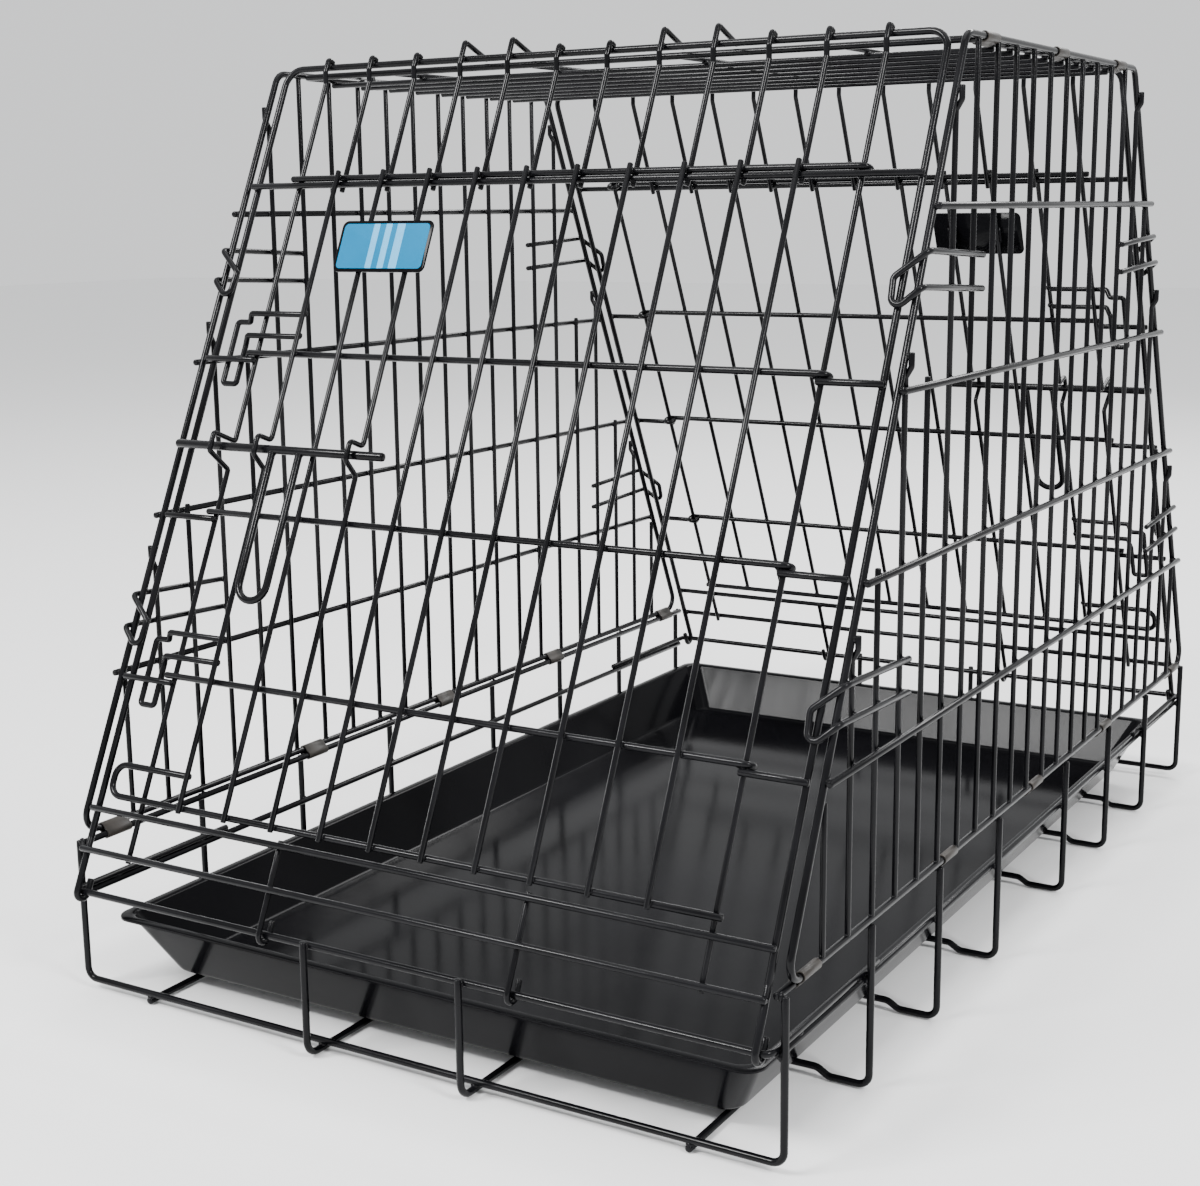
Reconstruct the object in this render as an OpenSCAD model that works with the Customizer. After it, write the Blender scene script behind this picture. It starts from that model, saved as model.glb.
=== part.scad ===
/* [Overall size] */
// Length of the base between the end posts
crate_l = 910; // [800:5:1100]
// Width of the base between the posts
crate_w = 567; // [480:1:640]
// Height of the top rails above the floor
crate_h = 668; // [560:1:800]
// Length of the flat top between the two end panels
top_l = 381; // [320:1:440]

/* [Wire] */
// Diameter of the frame wires
frame_d = 5; // [4:0.1:5.2]
// Diameter of the level wires of the ends, doors and sides
rail_d = 4.8; // [4:0.1:5]
// Diameter of the upright wires and the top's wires
grid_d = 4; // [3:0.1:4.2]
// Diameter of the door hooks and the corner clips
hook_d = 4.4; // [3.6:0.1:4.4]
// Diameter of the slide bolt rod
bolt_d = 6.5; // [6:0.1:7]
// Diameter of the slide bolt handle
handle_d = 5.5; // [4:0.1:5.8]
// How far a weld sinks one wire into the next
weld = 0.1; // [0.05:0.01:0.15]
// Clearance between a wire and a wire that it moves against
gap = 0.3; // [0.3:0.05:0.5]
// Clearance of a hinge rail inside its sleeve
sleeve_gap = 0.1; // [0.05:0.01:0.2]
// Wall of the sheet metal sleeves
sleeve_t = 0.9; // [0.6:0.1:1.2]
// Length of a hinge sleeve
sleeve_l = 24; // [16:1:24]

/* [Base] */
// Height of the side rims
rim_z = 112.8; // [100:0.1:140]
// Height of the rails that the end panels hinge on
rail_z = 80; // [70:1:90]
// How far the end rails stand out in front of the posts
rail_out = 11; // [9:0.5:16]
// Length of the end rails' return legs
return_l = 150; // [100:5:200]
// Spacing of the cross wires under the tray
foot_pitch = 121; // [100:1:130]
// Place of the inner long wires from the middle
inner_long_x = 63; // [50:1:75]
// Place of the outer long wires from the middle
outer_long_x = 221; // [180:1:226]
// Width of the raised middle of a cross wire
raised_w = 494; // [470:1:500]

/* [Tray] */
// Width of the tray over its lip
tray_w = 524; // [430:1:540]
// Length of the tray over its lip
tray_l = 896; // [750:1:910]
// Height of the tray
tray_h = 46; // [30:1:50]
// Wall thickness of the tray
tray_t = 2.5; // [2:0.1:4]
// How far the tray wall leans out from floor to lip
tray_draft = 22; // [10:1:30]
// Width of the flat lip
tray_lip = 7; // [4:1:12]
// How far the tray lifts straight up inside the panels
tray_lift = 18; // [5:1:20]

/* [End panels and doors] */
// Spacing of the upright wires in the ends and the doors
bar_pitch = 42; // [34:0.5:44]
// Number of upright wires across the top of an end panel
bar_count = 12; // [8:2:12]
// Gap from the last upright wire to the end panel's edge
edge_margin = 41.2; // [36:0.1:41.5]
// Distance along the slope from the rail to the lowest cross wire
low_wire_s = 30; // [26:1:36]
// Distance along the slope from the rail to the second cross wire
mid_wire_s = 60; // [52:1:66]
// Distance along the slope from the top rail to the header wire
header_drop = 101; // [80:1:120]
// Distance along the slope from the rail to the first hinge stub
stub_s = 158.5; // [150:0.5:170]
// Spacing of the hinge stubs along the slope
stub_pitch = 124.5; // [110:0.5:130]
// Distance along the slope from the rail to the bottom of the door
sill_s = 71.5; // [70:0.5:80]
// Height of the hairpin at the bottom corner of the door
hairpin_h = 23; // [16:1:30]
// Height of the bolt along the slope
bolt_s = 335.5; // [300:0.5:350]
// Length of the bolt rod
bolt_l = 192; // [180:1:200]
// Travel of the bolt
bolt_travel = 43; // [40:1:44]
// Length of the bolt's handle
handle_l = 112; // [80:1:120]
// Width of the bolt's handle
handle_w = 25; // [20:1:27]
// Width of the label plate
plate_w = 82; // [60:1:90]
// Height of the label plate
plate_h = 40; // [30:1:50]

/* [Side and top panels] */
// Spacing of the upright wires in the sides
side_pitch = 38.1; // [36:0.1:42]
// Height of the lowest rail of a side above the floor
side_rail_z = 228; // [200:1:240]
// Spacing of the rails of a side
side_rail_pitch = 110.7; // [90:0.1:115]
// How far the right side's upright wires are set towards the front
side_shift = 3.5; // [0:0.5:3.5]
// Number of rails of a side
side_rail_count = 4; // [2:1:4]
// Height of the upper corner clips
clip_high_z = 533; // [500:1:540]
// Height of the lower corner clips
clip_low_z = 283; // [270:1:290]
// Spacing of the two legs of a corner clip
clip_gap = 22; // [18:1:26]
// How far a corner clip's nose reaches in front of the end panel
clip_reach = 20; // [19:1:34]
// How much lower a corner clip's legs end than they start
clip_droop = 5; // [0:1:8]
// Length of a corner clip's legs beside the slope
clip_l = 94; // [70:1:120]

/* [Hidden] */
$fn = 24;

wire_black = "#16161a";
tray_black = "#101012";
sleeve_brown = "#3a342f";
plate_blue = "#1c9ad6";

// centre distance of two welded wires, and of two wires that move on each other
weld_ff = frame_d - weld;
weld_fr = (frame_d + rail_d) / 2 - weld;
weld_fg = (frame_d + grid_d) / 2 - weld;
weld_rg = (rail_d + grid_d) / 2 - weld;
weld_gg = grid_d - weld;
weld_fh = (frame_d + hook_d) / 2 - weld;
weld_gh = (grid_d + hook_d) / 2 - weld;
run_rg = (rail_d + grid_d) / 2 + gap;
run_rr = rail_d + gap;
// bends swell by this much, and the straight legs run this far into them
bend_swell = 0.1;
bend_lap = 0.3;

// base: posts and feet stand outside the rims and rails
post_x = crate_w / 2;
rim_x = post_x - weld_ff;
post_top = rim_z + 0.7;
low_z = frame_d / 2;
raised_z = low_z + weld_ff;
corner_r = 8;
kink_run = 8;
feet_y = [for (k = [-2.7, -1.7, -0.68, 0.68, 1.7, 2.7]) k * foot_pitch];
sleeve_y = [for (k = [-1, -0.4514, 0, 0.4514, 1]) k * (crate_l / 2 - 33)];
rail_r = 5.5;

// end panels lean in; s runs up the slope from the rail, n points out of the crate
hinge_y = crate_l / 2 + rail_out;
hook_r = frame_d + gap;
frame_n = hook_r;
lean = atan((hinge_y - top_l / 2) / (crate_h - rail_z));
top_s = norm([hinge_y - top_l / 2, crate_h - rail_z]);
hook_tip = 10;
wire_n = frame_n + weld_fr;
bar_n = wire_n - weld_rg;
top_n = frame_n + weld_fg;
jamb_x = (bar_count - 1) / 2 * bar_pitch;
edge_x = jamb_x + edge_margin;
stub_tip = edge_x + frame_d / 2 + 1;
header_s = top_s - header_drop;
rail_hook_x = 2.4 * bar_pitch;
roof_hook_x = [1.5 * bar_pitch, 2.5 * bar_pitch];
roof_hook_up = 12;
jog = 8;

// door: rails in front of the jambs, uprights in front of the rails
door_rail_n = bar_n + run_rg;
door_bar_n = door_rail_n + weld_rg;
door_x = jamb_x + 5;
door_bars = [for (i = [1 : bar_count - 2]) (i - (bar_count - 1) / 2) * bar_pitch];
seat = run_rr + 0.1;
door_rails_s = concat([for (k = [0 : 2]) stub_s + k * stub_pitch + seat], [header_s + seat]);
loop_sweep = 270;
hairpin_x = edge_x - 12.5;
hook_jog_x = jamb_x + 11;
hook_far_x = jamb_x + 27;
hook_near_x = jamb_x + 14;
hook_leg_n = door_bar_n - weld_gh;
hook_n = wire_n - rail_d / 2 - hook_d / 2 - gap;

// bolt: the rod runs in bows bent out of the jamb and of two door uprights
bow_n = 30;
bow_up = 9;
bow_down = 13;
bow_r = 3.5;
bolt_n = (door_bar_n + bow_n) / 2 - 0.4;
bolt_x = -jamb_x - 40;
bolt_bars = [0, 2];
handle_x = -jamb_x + 52;

// label plate on the door's uprights
plate_t = 1.6;
plate_r = 5;
plate_x = -3 * bar_pitch - 2;
plate_s = header_s - 53;
plate_n = door_bar_n + grid_d / 2 + 0.1;
rib_w = 7;

// side panels stand above the rims and turn on their bottom rail
side_x = post_x - 0.5;
side_low_z = rim_z + 4.6;
side_rail_x = side_x + weld_fr;
side_bar_x = side_rail_x - weld_rg;
side_out_x = side_x + weld_fg;
clip_x = side_bar_x + weld_gh;
clip_n = frame_n + frame_d / 2 + hook_d / 2 + gap + 0.1;
side_r = 12;
butt_below = 9.9;
side_bars = floor((crate_l / 2 - 40) / side_pitch - 0.5);

// top panel hinges beside the right side's top rail
top_z = crate_h - 2;
top_hinge_x = side_x - frame_d - 0.5;
top_left_x = -(side_x - 6);
top_half_l = 4.5 * side_pitch;
top_wire_z = top_z - weld_fg;
top_long_z = top_wire_z + weld_gg;
top_sleeve_y = top_half_l - 20;
catch_y = 2.5 * side_pitch;

function unit(v) = v / norm(v);
function end_point(x, s, n) = [
    x,
    -hinge_y + s * sin(lean) - n * cos(lean),
    rail_z + s * cos(lean) + n * sin(lean)
];
// slope distance at which a point n in front of the hinge plane has height z
function slope_at(z, n) = (z - rail_z - n * sin(lean)) / cos(lean);
// how far out the panel edge is at height z, and how high it is at distance y
function edge_y(z) = -end_point(0, slope_at(z, frame_n), frame_n)[1];
function edge_z(y) = rail_z + (hinge_y + frame_n / cos(lean) - abs(y)) / tan(lean);

// puts local axes x, cross(z, x), z at point p
module place(p, x, z) {
    y = cross(z, x);
    multmatrix([
        [x[0], y[0], z[0], p[0]],
        [x[1], y[1], z[1], p[1]],
        [x[2], y[2], z[2], p[2]],
        [0, 0, 0, 1]
    ])
        children();
}

// a straight piece of wire from a to b
module rod(a, b, d) {
    z = unit(b - a);
    side = abs(z[2]) > 0.9 ? [1, 0, 0] : [0, 0, 1];
    place(a, unit(cross(side, z)), z)
        cylinder(h = norm(b - a), d = d);
}

// how much of each leg a bend of radius r at b uses up
function turn(a, b, c) = acos(max(-1, min(1, unit(b - a) * unit(c - b))));
function setback(a, b, c, r) = r * tan(turn(a, b, c) / 2);

// the round bend at b between the legs from a and to c
module elbow(a, b, c, r, d) {
    u = unit(b - a);
    w = unit(c - b);
    m = unit(w - u * (u * w));
    place(b - u * setback(a, b, c, r) + m * r, -m, cross(-m, u))
        rotate_extrude(angle = turn(a, b, c))
            translate([r, 0])
                circle(d = d);
}

// one wire bent to radius r at every inner point; each leg runs a little way into its bends
module bent_wire(pts, d, r, closed = false) {
    n = len(pts);
    cut = [
        for (i = [0 : n - 1])
            !closed && (i == 0 || i == n - 1)
                ? 0
                : setback(pts[(i + n - 1) % n], pts[i], pts[(i + 1) % n], r) - bend_lap
    ];
    for (i = [0 : closed ? n - 1 : n - 2])
        let (j = (i + 1) % n, u = unit(pts[j] - pts[i]))
            rod(pts[i] + u * cut[i], pts[j] - u * cut[j], d);
    for (i = [closed ? 0 : 1 : closed ? n - 1 : n - 2])
        elbow(pts[(i + n - 1) % n], pts[i], pts[(i + 1) % n], r, d + bend_swell);
}

// end panels: children are drawn in the slope's own axes x, s, n
module on_slope(rear = false) {
    rotate([0, 0, rear ? 180 : 0])
        translate([0, -hinge_y, rail_z])
            rotate([90 - lean, 0, 0])
                children();
}

// ---- base ----

module cross_wire(y) {
    flat = raised_w / 2;
    bent_wire([
        [-post_x, y, post_top],
        [-post_x, y, low_z],
        [-flat - kink_run, y, low_z],
        [-flat, y, raised_z],
        [flat, y, raised_z],
        [flat + kink_run, y, low_z],
        [post_x, y, low_z],
        [post_x, y, post_top]
    ], frame_d, corner_r);
}

// the two end ones lie level on top of the long wires
module base_end_frames() {
    color(wire_black)
        for (y = [-crate_l / 2, crate_l / 2])
            bent_wire([
                [-post_x, y, post_top],
                [-post_x, y, raised_z],
                [post_x, y, raised_z],
                [post_x, y, post_top]
            ], frame_d, corner_r);
}

module base_cross_wires() {
    color(wire_black)
        for (y = feet_y)
            cross_wire(y);
}

module base_long_wires() {
    up_y = hinge_y + weld_ff;
    color(wire_black) {
        for (side = [-1, 1]) {
            rod([side * outer_long_x, -crate_l / 2 - 3, low_z],
                [side * outer_long_x, crate_l / 2 + 3, low_z], frame_d);
            bent_wire([
                [side * inner_long_x, -up_y, rail_z + 4],
                [side * inner_long_x, -up_y, low_z],
                [side * inner_long_x, up_y, low_z],
                [side * inner_long_x, up_y, rail_z + 4]
            ], frame_d, corner_r + 2);
        }
    }
}

module base_rims() {
    color(wire_black)
        for (side = [-1, 1])
            rod([side * rim_x, -crate_l / 2 - 2, rim_z], [side * rim_x, crate_l / 2 + 2, rim_z], frame_d);
}

module base_side_rails() {
    z = rail_z - weld_ff - 0.02;
    color(wire_black)
        for (side = [-1, 1])
            rod([side * rim_x, -crate_l / 2, z], [side * rim_x, crate_l / 2, z], frame_d);
}

module base_end_rails() {
    back_y = crate_l / 2 - return_l;
    color(wire_black)
        for (side = [-1, 1])
            bent_wire([
                [-rim_x, side * back_y, rail_z],
                [-rim_x, side * hinge_y, rail_z],
                [rim_x, side * hinge_y, rail_z],
                [rim_x, side * back_y, rail_z]
            ], frame_d, rail_r);
}

// a crimped sleeve round two wires that run along Y at a and b, given as [x, z]
module sleeve(a, b, y) {
    dir = unit(b - a);
    reach = norm(b - a);
    bore = frame_d / 2 + sleeve_gap;
    place([a[0], y + sleeve_l / 2, a[1]], [dir[0], 0, dir[1]], [0, -1, 0])
        linear_extrude(sleeve_l)
            difference() {
                long_round(reach, bore + sleeve_t);
                long_round(reach, bore);
            }
}

module long_round(reach, r) {
    circle(r);
    translate([reach, 0])
        circle(r);
    translate([0, -r])
        square([reach, 2 * r]);
}

module side_hinge_sleeves() {
    color(sleeve_brown)
        for (side = [-1, 1], y = sleeve_y)
            sleeve([side * rim_x, rim_z], [side * side_x, side_low_z], y);
}

// ---- tray ----

module tray_outline(w, l, r) {
    hull()
        for (sx = [-1, 1], sy = [-1, 1])
            translate([sx * (w / 2 - r), sy * (l / 2 - r)])
                circle(r);
}

// a sloped block, w by l at its top
module tray_block(w, l, z0, z1, draft) {
    thin = 0.2;
    hull() {
        translate([0, 0, z1 - thin])
            linear_extrude(thin)
                tray_outline(w, l, 24);
        translate([0, 0, z0])
            linear_extrude(thin)
                tray_outline(w - 2 * draft, l - 2 * draft, 14);
    }
}

module tray() {
    bottom = raised_z + frame_d / 2 + gap;
    top = bottom + tray_h;
    body_w = tray_w - 2 * tray_lip;
    body_l = tray_l - 2 * tray_lip;
    color(tray_black)
        difference() {
            union() {
                tray_block(body_w, body_l, bottom, top, tray_draft);
                translate([0, 0, top - tray_t])
                    linear_extrude(tray_t)
                        tray_outline(tray_w, tray_l, 26);
            }
            tray_block(body_w - 2 * tray_t, body_l - 2 * tray_t, bottom + tray_t, top + 1, tray_draft);
        }
}

// ---- end panels ----

// the hook at the foot of an end panel wire, closed under the rail
function rail_hook(x, up_s, n = frame_n) = [
    [x, up_s, n],
    [x, -hook_r, n],
    [x, -hook_r, -frame_n],
    [x, hook_tip, -frame_n]
];

module end_frame() {
    bend = 14;
    top = top_s - bend;
    for (side = [-1, 1]) {
        bent_wire(rail_hook(side * edge_x, top + bend_lap), frame_d, hook_r - bend_lap);
        elbow([side * edge_x, top, frame_n], [side * edge_x, top_s, frame_n],
              [0, top_s, frame_n], bend, frame_d + bend_swell);
    }
    rod([-edge_x + bend - bend_lap, top_s, frame_n], [edge_x - bend + bend_lap, top_s, frame_n], frame_d);
}

// upper stretch of an upright, jogged over the top rail with its end curled back
function curled_top(x) = [
    [x, top_s - 6 - jog, bar_n],
    [x, top_s - 6, top_n],
    [x, top_s + weld_fg + 0.3, top_n],
    [x, top_s + weld_fg + 0.3, frame_n - 2]
];

// the same, but reaching up and back over the top panel's end wire
function roof_hook_top(x) =
    let (tip = [x, -top_half_l + 6, top_z + frame_d / 2 + grid_d / 2 + gap + 0.9])
        [
            [x, top_s - 6 - jog, bar_n],
            [x, top_s - 6, top_n],
            [x, top_s + roof_hook_up, top_n],
            slope_coords(tip)
        ];
function slope_coords(p) = [
    p[0],
    (p[1] + hinge_y) * sin(lean) + (p[2] - rail_z) * cos(lean),
    -(p[1] + hinge_y) * cos(lean) + (p[2] - rail_z) * sin(lean)
];

module end_header_bars() {
    for (x = door_bars)
        let (roof = min([for (r = roof_hook_x) abs(abs(x) - r)]) < 1)
            bent_wire(
                concat([[x, header_s - 4, bar_n]], roof ? roof_hook_top(x) : curled_top(x)),
                grid_d, 2.4
            );
}

// bow that leaves room for the bolt rod, from plane n0
function bow(x, n0) = [
    [x, bolt_s + bow_up, n0],
    [x, bolt_s + bow_up - 1, bow_n],
    [x, bolt_s - bow_up + 3, bow_n],
    [x, bolt_s - bow_down, n0]
];
function reversed(list) = [for (i = [len(list) - 1 : -1 : 0]) list[i]];

module end_jambs() {
    foot = low_wire_s - 4;
    bent_wire(concat([[-jamb_x, foot, bar_n]], reversed(bow(-jamb_x, bar_n)), curled_top(-jamb_x)),
              grid_d, 2.4);
    bent_wire(concat([[jamb_x, foot, bar_n]], curled_top(jamb_x)), grid_d, 2.4);
}

module end_cross_wires() {
    reach = edge_x + frame_d / 2;
    for (s = [low_wire_s, mid_wire_s, header_s])
        rod([-reach, s, wire_n], [reach, s, wire_n], rail_d);
}

module end_stubs() {
    for (k = [0 : 2], side = [-1, 1])
        rod([side * (jamb_x - 2), stub_s + k * stub_pitch, wire_n],
            [side * stub_tip, stub_s + k * stub_pitch, wire_n], rail_d);
}

module end_rail_hooks() {
    for (side = [-1, 1])
        bent_wire(rail_hook(side * rail_hook_x, mid_wire_s + 4, bar_n), grid_d, hook_r - bend_lap);
}

// ---- doors ----

module door_bars() {
    for (i = [0 : len(door_bars) - 1])
        let (
            x = door_bars[i],
            low = [x, sill_s - 4, door_bar_n],
            high = [x, header_s + seat + 4, door_bar_n]
        )
            if (len(search(i, bolt_bars)) > 0)
                bent_wire(concat([low], reversed(bow(x, door_bar_n)), [high]), grid_d, bow_r);
            else
                rod(low, high, grid_d);
}

// a rail whose right end is curled round the jamb
module looped_rail(s) {
    rod([-door_x, s, door_rail_n], [jamb_x + bend_lap, s, door_rail_n], rail_d);
    place([jamb_x, s, bar_n], [0, 0, 1], [0, 1, 0])
        rotate_extrude(angle = loop_sweep)
            translate([run_rg, 0])
                circle(d = rail_d + bend_swell);
}

module door_rails() {
    for (s = door_rails_s)
        looped_rail(s);
    bent_wire([
        [jamb_x + 7, sill_s, door_rail_n],
        [-hairpin_x, sill_s, door_rail_n],
        [-hairpin_x, sill_s + hairpin_h, door_rail_n],
        [door_bars[0] - 3, sill_s + hairpin_h, door_rail_n]
    ], rail_d, hairpin_h / 2 - 2);
}

// a double-legged hook that drops behind the stub at slope distance s
module door_hook(s) {
    leg_x = door_bars[0] - 2;
    high = s + 36.5;
    low = s + 19;
    bent_wire([
        [leg_x, high, hook_leg_n],
        [-hook_jog_x, high, hook_leg_n],
        [-hook_jog_x - 4, high - 5, hook_n],
        [-hook_far_x, high - 5, hook_n],
        [-hook_far_x, s - 18, hook_n],
        [-hook_near_x, s - 18, hook_n],
        [-hook_near_x, low - 6, hook_n],
        [-hook_jog_x + 1.5, low, hook_leg_n],
        [leg_x, low, hook_leg_n]
    ], hook_d, 2.6);
}

module door_hooks() {
    for (k = [0, 2])
        door_hook(stub_s + k * stub_pitch);
}

module label_plate() {
    translate([plate_x, plate_s, plate_n])
        linear_extrude(plate_t)
            translate([-plate_w / 2 + plate_r, -plate_h / 2 + plate_r])
                plate_outline(plate_w - 2 * plate_r, plate_h - 2 * plate_r);
    // ribs behind the plate that snap beside the two uprights it sits on
    for (x = [door_bars[1], door_bars[2]], side = [-1, 1])
        translate([x + side * (grid_d / 2 + 0.2 + 0.75) - 0.75, plate_s - rib_w, plate_n - grid_d])
            cube([1.5, 2 * rib_w, grid_d + 0.5]);
}

// a rounded rectangle, w by h between the corner centres
module plate_outline(w, h) {
    for (x = [0, w], y = [0, h])
        translate([x, y])
            circle(plate_r);
    translate([-plate_r, 0])
        square([w + 2 * plate_r, h]);
    translate([0, -plate_r])
        square([w, h + 2 * plate_r]);
}

module slide_bolt() {
    rod([bolt_x, bolt_s, bolt_n], [bolt_x + bolt_l, bolt_s, bolt_n], bolt_d);
    bent_wire([
        [handle_x, bolt_s, bolt_n],
        [handle_x, bolt_s - handle_l, bolt_n],
        [handle_x + handle_w, bolt_s - handle_l, bolt_n],
        [handle_x + handle_w, bolt_s, bolt_n]
    ], handle_d, handle_w / 2 - bend_lap);
}

// ---- side panels, drawn for the right side ----

module on_side(left = false) {
    rotate([0, 0, left ? 180 : 0])
        children();
}

module side_frame() {
    foot_y = edge_y(side_low_z);
    head_y = edge_y(crate_h);
    bent_wire([
        [side_x, foot_y, side_low_z],
        [side_x, head_y, crate_h],
        [side_x, -head_y, crate_h],
        [side_x, -foot_y, side_low_z]
    ], frame_d, side_r, closed = true);
}

// of the uprights under the slope, every other one is stepped out over the slope's wire
// and the ones between are cut off just above a rail
module side_bars(shift = 0) {
    butt = frame_d / 2 - weld;
    flat_y = edge_y(crate_h) - side_r;
    for (k = [-side_bars - 1 : side_bars])
        let (
            y = (k + 0.5) * side_pitch - shift,
            low = [side_bar_x, y, side_low_z + butt],
            top = edge_z(y),
            beyond = floor((abs(y) - flat_y) / side_pitch)
        )
            if (beyond < 0)
                rod(low, [side_bar_x, y, crate_h - butt], grid_d);
            else if (beyond % 2 == 1)
                rod(low, [side_bar_x, y, cut_height(top)], grid_d);
            else
                bent_wire([
                    low,
                    [side_bar_x, y, top - 13],
                    [side_out_x, y, top - 6.5],
                    [side_out_x, y, top + 2.5]
                ], grid_d, 2.4);
}

// just above the highest rail under the slope, and always clear of the slope's wire
function cut_height(top) =
    let (
        rails = [for (k = [0 : side_rail_count - 1]) side_rail_z + k * side_rail_pitch],
        under = [for (z = rails) if (z < top) z + 5]
    )
        min(top - butt_below, len(under) > 0 ? max(under) : top);

module side_rails() {
    for (k = [0 : side_rail_count - 1])
        let (
            z = side_rail_z + k * side_rail_pitch,
            reach = edge_y(z) + 4
        )
            rod([side_rail_x, -reach, z], [side_rail_x, reach, z], rail_d);
}

// a spring clip: legs welded to the side, nose bent in front of the end panel's edge
module corner_clip(z) {
    low = z - clip_gap;
    nose = function (x, h) end_point(x, slope_at(h, clip_n), clip_n);
    tail_y = -edge_y(z) + clip_l;
    bent_wire([
        [clip_x, tail_y, z - clip_droop],
        nose(clip_x, z),
        nose(clip_x - clip_reach, z - 16),
        nose(clip_x - clip_reach + 2, z - 38),
        nose(clip_x, low),
        [clip_x, tail_y, low - clip_droop]
    ], hook_d, 5);
}

module side_clips() {
    for (z = [clip_low_z, clip_high_z]) {
        corner_clip(z);
        mirror([0, 1, 0])
            corner_clip(z);
    }
}

module top_hinge_sleeves() {
    color(sleeve_brown)
        for (y = [-top_sleeve_y, 0, top_sleeve_y])
            sleeve([top_hinge_x, top_z], [side_x, crate_h], y);
}

// ---- top panel ----

module top_frame() {
    color(wire_black)
        bent_wire([
            [top_hinge_x, top_half_l, top_z],
            [top_left_x, top_half_l, top_z],
            [top_left_x, -top_half_l, top_z],
            [top_hinge_x, -top_half_l, top_z]
        ], frame_d, 7, closed = true);
}

module top_cross_wires() {
    color(wire_black)
        for (i = [0 : 3], side = [-1, 1])
            let (y = side * (i + 0.5) * side_pitch)
                rod([top_left_x - 2, y, top_wire_z], [top_hinge_x + 2, y, top_wire_z], grid_d);
}

module top_long_wires() {
    butt = frame_d / 2 - weld;
    color(wire_black)
        for (x = [-4.5, -1.5, 1.5, 4.5] * bar_pitch)
            rod([x, -top_half_l + butt, top_long_z], [x, top_half_l - butt, top_long_z], grid_d);
}

// hooks on the top panel's free edge that rest over the left side's top rail
module top_catches() {
    over_z = crate_h + frame_d / 2 + grid_d / 2 + gap;
    out_x = -side_x - frame_d / 2 - grid_d / 2 - gap;
    beside = grid_d - 0.04;
    color(wire_black)
        for (side = [-1, 1])
            bent_wire([
                [top_left_x + 30, side * catch_y + beside, top_wire_z],
                [top_left_x + 9, side * catch_y + beside, top_wire_z],
                [top_left_x + 6, side * catch_y + beside, over_z],
                [out_x, side * catch_y + beside, over_z],
                [out_x, side * catch_y + beside, crate_h - 5]
            ], grid_d, 2.4);
}

// ---- the parts ----

base_end_frames();
base_cross_wires();
base_long_wires();
base_rims();
base_side_rails();
base_end_rails();
side_hinge_sleeves();
tray();

color(wire_black) on_slope() end_frame();  // front_frame
color(wire_black) on_slope() end_header_bars();  // front_header_bars
color(wire_black) on_slope() end_jambs();  // front_jambs
color(wire_black) on_slope() end_cross_wires();  // front_cross_wires
color(wire_black) on_slope() end_stubs();  // front_stubs
color(wire_black) on_slope() end_rail_hooks();  // front_rail_hooks
color(wire_black) on_slope() door_bars();  // front_door_bars
color(wire_black) on_slope() door_rails();  // front_door_rails
color(wire_black) on_slope() door_hooks();  // front_door_hooks
color(plate_blue) on_slope() label_plate();  // front_label_plate
color(wire_black) on_slope() slide_bolt();  // front_bolt

color(wire_black) on_slope(true) end_frame();  // rear_frame
color(wire_black) on_slope(true) end_header_bars();  // rear_header_bars
color(wire_black) on_slope(true) end_jambs();  // rear_jambs
color(wire_black) on_slope(true) end_cross_wires();  // rear_cross_wires
color(wire_black) on_slope(true) end_stubs();  // rear_stubs
color(wire_black) on_slope(true) end_rail_hooks();  // rear_rail_hooks
color(wire_black) on_slope(true) door_bars();  // rear_door_bars
color(wire_black) on_slope(true) door_rails();  // rear_door_rails
color(wire_black) on_slope(true) door_hooks();  // rear_door_hooks
color(plate_blue) on_slope(true) label_plate();  // rear_label_plate
color(wire_black) on_slope(true) slide_bolt();  // rear_bolt

color(wire_black) on_side(true) side_frame();  // left_frame
color(wire_black) on_side(true) side_bars();  // left_bars
color(wire_black) on_side(true) side_rails();  // left_rails
color(wire_black) on_side(true) side_clips();  // left_clips
color(wire_black) on_side() side_frame();  // right_frame
color(wire_black) on_side() side_bars(side_shift);  // right_bars
color(wire_black) on_side() side_rails();  // right_rails
color(wire_black) on_side() side_clips();  // right_clips
top_hinge_sleeves();

top_frame();
top_cross_wires();
top_long_wires();
top_catches();
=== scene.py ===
from math import atan2, ceil, cos, hypot, pi, sin, tan

import bmesh
import bpy
from mathutils import Matrix, Vector


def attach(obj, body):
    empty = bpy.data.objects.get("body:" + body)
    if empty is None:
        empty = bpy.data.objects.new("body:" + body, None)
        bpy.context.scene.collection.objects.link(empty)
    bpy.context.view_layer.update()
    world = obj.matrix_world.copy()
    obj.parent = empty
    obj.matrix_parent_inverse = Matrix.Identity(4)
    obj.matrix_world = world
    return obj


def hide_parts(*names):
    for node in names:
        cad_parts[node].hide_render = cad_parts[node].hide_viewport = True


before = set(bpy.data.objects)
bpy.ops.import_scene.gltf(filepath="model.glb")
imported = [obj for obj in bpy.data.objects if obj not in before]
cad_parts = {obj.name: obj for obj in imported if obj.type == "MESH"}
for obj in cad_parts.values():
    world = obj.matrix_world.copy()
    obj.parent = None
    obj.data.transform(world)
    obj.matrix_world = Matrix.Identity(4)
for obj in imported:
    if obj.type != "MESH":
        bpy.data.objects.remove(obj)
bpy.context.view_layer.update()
MM = 0.001


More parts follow.
